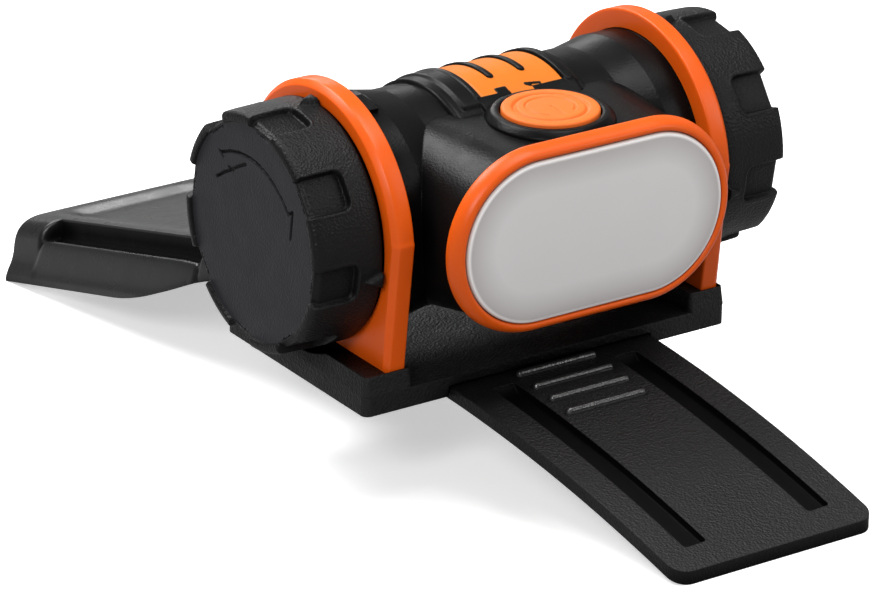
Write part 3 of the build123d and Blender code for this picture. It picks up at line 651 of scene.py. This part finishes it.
# ------------------------------------------------------------------ button surround and the pad over the barrel's back
def box_sd(x, t, x0, x1, t0, t1, r=0.0):
    """Signed distance in mm to a box in (x, angle in degrees); 0.31 mm to a degree."""
    k = 0.31
    cx, hx = (x0 + x1) / 2, (x1 - x0) / 2 - r
    ct, ht = (t0 + t1) / 2 * k, (t1 - t0) / 2 * k - r
    dx, dt = np.abs(x - cx) - hx, np.abs(t * k - ct) - ht
    return np.hypot(np.maximum(dx, 0), np.maximum(dt, 0)) + np.minimum(np.maximum(dx, dt), 0) - r


def seg_sd(x, t, a, b, w):
    k = 0.31
    px, py = x - a[0], (t - a[1]) * k
    ex, ey = b[0] - a[0], (b[1] - a[1]) * k
    h = np.clip((px * ex + py * ey) / (ex * ex + ey * ey), 0, 1)
    return np.hypot(px - h * ex, py - h * ey) - w


def pad_height(x, t):
    band = box_sd(x, t, -12.0, 11.4, 33.0, 128.0, 1.0)
    h = 16.4 + 1.1 * (1 - sstep(-0.55, 0.05, band))
    raised = np.minimum.reduce([
        box_sd(x, t, -7.6, -6.25, 34.0, 114.0, 0.3),
        seg_sd(x, t, (-1.9, 36.0), (-1.9, 98.8), 0.7),
        seg_sd(x, t, (3.9, 36.0), (3.9, 98.4), 0.7),
        seg_sd(x, t, (9.7, 36.0), (9.7, 112.5), 0.9),
        box_sd(x, t, -7.6, 10.6, 33.5, 37.5, 0.5),
    ])
    h = np.maximum(h, 17.45 + 0.68 * (1 - sstep(-0.34, 0.1, raised)))
    left = box_sd(x, t, -10.6, -6.3, 33.5, 118.5, 0.6)
    h = np.maximum(h, 17.45 + 0.5 * (1 - sstep(-0.75, 0.1, left)))
    right = box_sd(x, t, 8.85, 11.3, 33.5, 116.0, 0.6)
    h = np.maximum(h, 17.45 + 0.4 * (1 - sstep(-0.6, 0.1, right)))
    # black front edge with its notch and slot beside the orange neck
    front = np.minimum.reduce([
        box_sd(x, t, -7.2, -0.9, 112.0, 130.0, 0.3),
        box_sd(x, t, -3.4, -1.0, 108.4, 116.0, 0.35),
        np.minimum(seg_sd(x, t, (2.3, 110.2), (4.6, 111.6), 0.42), seg_sd(x, t, (2.3, 110.6), (2.9, 112.0), 0.4)),
        box_sd(x, t, 2.9, 10.6, 112.2, 130.0, 0.3),
    ])
    h = np.maximum(h, 17.4 + 0.5 * (1 - sstep(-0.25, 0.1, front)))
    # seat for the orange inlay, just under it
    seat = box_sd(x, t, -6.2, 8.8, 37.5, 114.0, 0.3)
    hole = (seat < -0.02) & (raised > 0.12) & (front > 0.12)
    return np.where(hole, 17.2, h)


def cyl_patch(name, x0, x1, nx, t0, t1, nt, height, base):
    xs, ts = np.linspace(x0, x1, nx), np.linspace(t0, t1, nt)
    X, T = np.meshgrid(xs, ts, indexing="ij")
    H = height(X, T)
    edge = np.zeros_like(H, bool)
    edge[0, :] = edge[-1, :] = edge[:, 0] = edge[:, -1] = True
    H = np.where(edge, base, H)
    a = np.radians(T)
    P = np.stack([X, H * np.cos(a), H * np.sin(a) + AXIS_Z], -1).reshape(-1, 3)
    # sunk well under the button, so that nothing meets it when it is pressed
    well = np.hypot(P[:, 0], P[:, 1] - BTN_Y) < 7.82
    P[well, 2] = np.minimum(P[well, 2], 38.8)
    return mesh_object(name, P, grid(nx, nt))


pad = cyl_patch("pad_shell", -12.4, 11.8, 210, 32.0, 129.0, 200, pad_height, 16.3)


def inlay_height(x, t):
    return 17.78 + 0.0 * x


inlay = cyl_patch("inlay_shell", -6.25, 8.85, 60, 37.2, 118.0, 120, inlay_height, 17.1)


def disc_mesh(name, prof, cx, cy, n=160, extra=None):
    a = np.radians(np.arange(n) * 360.0 / n)
    P = []
    for r, z in prof:
        x, y = r * np.cos(a), r * np.sin(a)
        zz = np.full(n, z)
        if extra is not None:
            zz = zz + extra(x, y)
        P.append(np.stack([cx + x, cy + y, zz], 1))
    o = mesh_object(name, np.concatenate(P), grid(len(prof), n, wrap_v=True))
    fix_normals(o)
    weighted(o)
    return o


collar = disc_mesh("surround_shell", [(10.15, 36.0), (10.0, 38.6), (9.9, 39.5), (9.84, 39.9), (9.72, 40.05), (9.0, 40.74), (8.88, 40.84), (8.7, 40.88), (8.3, 40.9),
                                      (8.0, 40.9), (7.85, 40.86), (7.72, 40.75), (7.66, 40.5), (7.66, 38.9), (0.02, 38.9)], 0, BTN_Y)
MARK = math.radians(-92)


def power_mark(x, y):
    r = np.hypot(x, y)
    a = np.arctan2(y, x)
    da = np.abs((a - MARK + math.pi) % (2 * math.pi) - math.pi)
    arc = np.abs(r - 3.75) - 0.16
    arc = np.where(da > math.radians(34), arc, 9.0)
    px, py = x * math.cos(MARK) + y * math.sin(MARK), -x * math.sin(MARK) + y * math.cos(MARK)
    bar = np.maximum(np.abs(px - 1.9) - 1.9, np.abs(py) - 0.16)
    d = np.minimum(arc, bar)
    return -0.2 * (1 - sstep(-0.02, 0.14, d)) * (r < 4.6)


bprof = [(7.5, 39.9), (7.5, 41.02), (7.47, 41.16), (7.38, 41.28), (7.22, 41.36), (6.95, 41.4), (6.2, 41.42), (5.95, 41.4), (5.8, 41.3), (5.7, 41.14),
         (5.55, 41.06), (5.4, 41.1), (5.3, 41.24), (5.18, 41.38), (5.0, 41.44), (4.7, 41.47)]
bprof += [(r, 41.47 + 0.1 * (1 - (r / 4.7) ** 2)) for r in np.arange(4.6, 0.15, -0.09)] + [(0.02, 41.57)]
button = disc_mesh("button_shell", bprof, 0, BTN_Y, 240, power_mark)

# one black piece for the pad and the round surround
for o_, b_, s_, m_, n_ in ((pad, "lamp", "black_housing", "black_housing", ("button_collar",)), (collar, "lamp", "black_housing", "black_housing", ()),
                           (inlay, "lamp", "orange_soft", "orange_soft", ("top_inlay",)), (button, "button", "orange_button", "orange_button", ("power_button",))):
    put(o_, b_, s_, M[m_], *n_)


# ------------------------------------------------------------------ bezel and lens
def stadium(a, R, n=48):
    """Outline round a centre, half straight length a, end radius R: the (x, z) points."""
    out = []
    for k in range(n + 1):
        t = -math.pi / 2 + math.pi * k / n
        out.append((a + R * math.cos(t), R * math.sin(t)))
    for k in range(1, 12):
        out.append((a - 2 * a * k / 12, R))
    for k in range(n + 1):
        t = math.pi / 2 + math.pi * k / n
        out.append((-a + R * math.cos(t), R * math.sin(t)))
    for k in range(1, 12):
        out.append((-a + 2 * a * k / 12, -R))
    return np.array(out)


BEZ_Z = 26.09


def loop_mesh(name, rows, closed, attr=None):
    P, A = [], []
    for a, R, y, d in rows:
        s = stadium(a, R)
        P.append(np.stack([s[:, 0], np.full(len(s), y), s[:, 1] + BEZ_Z], 1))
        A += [d] * len(s)
    n = len(P[0])
    o = mesh_object(name, np.concatenate(P), grid(len(rows), n, wrap_u=closed, wrap_v=True), attrs={attr: A} if attr else None)
    fix_normals(o)
    return o


brow = []
for off, y in ((0.0, -26.3), (0.0, -28.05), (0.05, -28.28), (0.2, -28.46), (0.45, -28.55), (0.8, -28.56), (1.15, -28.46), (1.5, -28.22), (1.85, -27.86),
               (2.15, -27.4), (2.36, -26.95), (2.46, -26.5), (2.5, -26.15), (2.46, -26.02), (2.2, -26.0), (0.4, -26.0)):
    t = off / 2.5
    brow.append((10.42 + 0.23 * t, 12.95 + 1.8 * t, y, 0))
put(loop_mesh("bezel_shell", brow, True), "lamp", "orange_plastic", M["orange_plastic"], "front_bezel")
lrow = []
for d, y in ((0.0, -26.9), (0.0, -28.15), (0.06, -28.36), (0.2, -28.52), (0.45, -28.62), (0.75, -28.66), (1.1, -28.67), (1.6, -28.68), (2.2, -28.69),
             (3.0, -28.7), (4.0, -28.71), (5.2, -28.72), (6.8, -28.73), (8.6, -28.74), (10.5, -28.74), (12.83, -28.74)):
    lrow.append((10.4, 12.85 - d, y, d))
lens = loop_mesh("lens_shell", lrow, False, "edge")
bml = bmesh.new()
bml.from_mesh(lens.data)
bmesh.ops.remove_doubles(bml, verts=bml.verts, dist=0.00006)
bmesh.ops.recalc_face_normals(bml, faces=bml.faces)
bml.to_mesh(lens.data)
bml.free()
put(lens, "lamp", "lens_frosted", M["lens_frosted"], "diffuser_lens")


# ------------------------------------------------------------------ grip ribs on the front plate
def rib_mesh(name, y):
    top = front_line(y) + PLATE_T
    n, m = 24, 14
    half, r = 6.7, 0.62
    P = []
    xs = [-half - r * math.cos(math.pi * k / 12) for k in range(0, 6)] + list(np.linspace(-half, half, n)) + \
         [half + r * math.sin(math.pi * k / 12) for k in range(1, 7)]
    for x in xs:
        over = max(0.0, abs(x) - half)
        rr = math.sqrt(max(1e-6, r * r - over * over))
        for k in range(m + 1):
            a = math.pi * k / m
            P.append((-1.6 + x, y + rr * 1.05 * math.cos(a), top - 0.05 + rr * 1.42 * math.sin(a)))
    o = mesh_object(name, P, grid(len(xs), m + 1))
    bmr = bmesh.new()
    bmr.from_mesh(o.data)
    bmesh.ops.remove_doubles(bmr, verts=bmr.verts, dist=0.000005)
    bmesh.ops.recalc_face_normals(bmr, faces=bmr.faces)
    if sum(f.normal.z for f in bmr.faces) < 0:
        bmesh.ops.reverse_faces(bmr, faces=bmr.faces)
    bmr.to_mesh(o.data)
    bmr.free()
    o.data.shade_smooth()
    return o


# rib material: lighter than the plate's black as a painted highlight, and glossier
M["rib_black"] = plastic("rib highlight black", (0.012, 0.012, 0.012), 0.3, 0.8, 0.1, grain=0.3, grain_scale=2600)
for k, y in enumerate((-21.3, -25.7, -29.9, -34.2)):
    put(rib_mesh("front_rib_%d" % (k + 1), y), "stand", "black_grained", M["rib_black"])

# ------------------------------------------------------------------ floor, lights and camera
scene = bpy.context.scene
floor_n = 60
fx = np.linspace(-1.6, 1.6, floor_n)
fy = np.linspace(-1.3, 1.9, floor_n)
fverts, ffaces = [], []
for i in range(floor_n):
    for j in range(floor_n):
        rise = 0.0 if fy[j] < 0.9 else (fy[j] - 0.9) ** 2 * 0.9
        fverts.append((fx[i], fy[j], rise - 0.00002))
for i in range(floor_n - 1):
    for j in range(floor_n - 1):
        a = i * floor_n + j
        ffaces.append((a, a + floor_n, a + floor_n + 1, a + 1))
fme = bpy.data.meshes.new("floor")
fme.from_pydata(fverts, [], ffaces)
fme.shade_smooth()
floor = bpy.data.objects.new("floor", fme)
scene.collection.objects.link(floor)
fm, fnt, fp = new_mat("floor paper")
fn = noise(fnt, 6.0, 2.0)
fr = ramp(fnt, fn.outputs["Fac"], [(0.3, (0.9, 0.9, 0.9)), (0.7, (0.93, 0.93, 0.93))])
fnt.links.new(fr.outputs["Color"], fp.inputs["Base Color"])
fp.inputs["Roughness"].default_value = 0.8
fp.inputs["Specular IOR Level"].default_value = 0.1
lp = fnt.nodes.new("ShaderNodeLightPath")
dim = fnt.nodes.new("ShaderNodeMix")
dim.data_type = "RGBA"
dim.inputs[6].default_value = (0.3, 0.3, 0.3, 1.0)
fnt.links.new(lp.outputs["Is Camera Ray"], dim.inputs[0])
fnt.links.new(fr.outputs["Color"], dim.inputs[7])
fnt.links.new(dim.outputs[2], fp.inputs["Base Color"])
fp.inputs["Emission Color"].default_value = (1.0, 1.0, 1.0, 1.0)
lift = fnt.nodes.new("ShaderNodeMath")
lift.operation = "MULTIPLY"
lift.inputs[1].default_value = 0.5
fnt.links.new(lp.outputs["Is Camera Ray"], lift.inputs[0])
fnt.links.new(lift.outputs["Value"], fp.inputs["Emission Strength"])
fme.materials.append(fm)

world_ = bpy.data.worlds.new("studio")
scene.world = world_
world_.use_nodes = True
world_.node_tree.nodes["Background"].inputs["Color"].default_value = (1.0, 1.0, 1.0, 1.0)
world_.node_tree.nodes["Background"].inputs["Strength"].default_value = 0.3


def area(name, pos, target, w, h, power, color=(1, 1, 1)):
    L = bpy.data.lights.new(name, "AREA")
    L.shape = "RECTANGLE"
    L.size, L.size_y = w, h
    L.energy = power
    L.color = color
    o = bpy.data.objects.new(name, L)
    o.location = Vector(pos)
    d = Vector(target) - Vector(pos)
    o.rotation_mode = "QUATERNION"
    o.rotation_quaternion = d.to_track_quat("-Z", "Y")
    scene.collection.objects.link(o)
    return o


CAM_POS = (-418.758, -602.226, 319.424)
RIGHT0 = Vector((0.82649, -0.56295, 0.0))
UP0 = Vector((0.22218, 0.32619, 0.91882))
FWD0 = Vector((0.51725, 0.75940, -0.39467))
ROLL = math.radians(0.776)
right = direction(RIGHT0 * math.cos(ROLL) + UP0 * math.sin(ROLL)).normalized()
up = direction(UP0 * math.cos(ROLL) - RIGHT0 * math.sin(ROLL)).normalized()
back = (-direction(FWD0)).normalized()
cam = bpy.data.cameras.new("camera")
cam.sensor_width = 36.0
cam.sensor_fit = "HORIZONTAL"
cam.lens = 5165.36 / 880.0 * 36.0
cam.clip_start, cam.clip_end = 0.05, 20.0
cam_o = bpy.data.objects.new("camera", cam)
rot = Matrix((right, up, back)).transposed()
cam_o.matrix_world = Matrix.Translation(Vector(world(CAM_POS)[0])) @ rot.to_4x4()
scene.collection.objects.link(cam_o)
scene.camera = cam_o

mid = Vector(world((0, 0, 25))[0])


def from_view(r, u, b):
    """A place around the lamp in metres, as seen from the camera: right, up, towards the camera."""
    return mid + right * r + Vector((0, 0, 1)) * u + Vector((back[0], back[1], 0)).normalized() * b


area("key", from_view(-0.6, 1.1, -0.35), mid, 0.8, 0.6, 19.0)
area("top", from_view(0.35, 1.2, 0.1), mid, 0.8, 0.6, 9.0)
area("fill", from_view(1.0, 0.5, 0.2), mid, 0.3, 0.5, 2.0)
area("front", from_view(-0.35, 0.75, 1.2), mid, 0.45, 0.35, 8.5)

area("rim", from_view(-0.25, 0.5, -1.1), mid, 0.5, 0.25, 2.0)

scene.view_settings.view_transform = "Standard"
scene.view_settings.look = "None"
scene.view_settings.exposure = 0.0
scene.view_settings.gamma = 1.0
